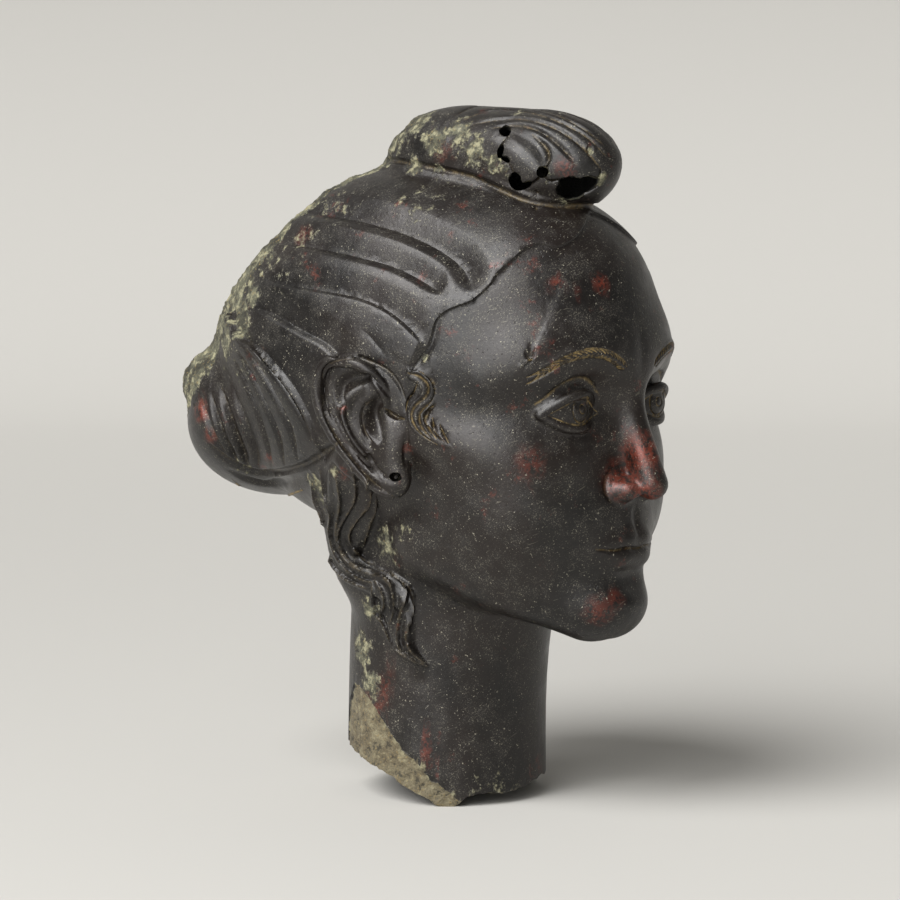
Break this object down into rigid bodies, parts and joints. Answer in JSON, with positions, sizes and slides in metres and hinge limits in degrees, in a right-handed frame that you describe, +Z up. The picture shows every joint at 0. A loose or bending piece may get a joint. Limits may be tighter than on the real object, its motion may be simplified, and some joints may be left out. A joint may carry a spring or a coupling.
{
  "type": "bronze head sculpture",
  "caption": "Life-size hollow cast bronze head, hair drawn back to a ribbed knot with a roll on top, broken off at the neck and open behind.",
  "frame": {"origin": "on the resting plane, under the middle of the bounding box", "axes": "+Z up, the face looks along -Y, the head's own left side is +X"},
  "size_m": [0.1824, 0.274, 0.335],
  "materials": {
    "bronze": "dark brown-black bronze patina, satin, with reddish and ochre corrosion"
  },
  "bodies": {
    "root": {"bronze_head": "bronze"}
  },
  "joints": []
}
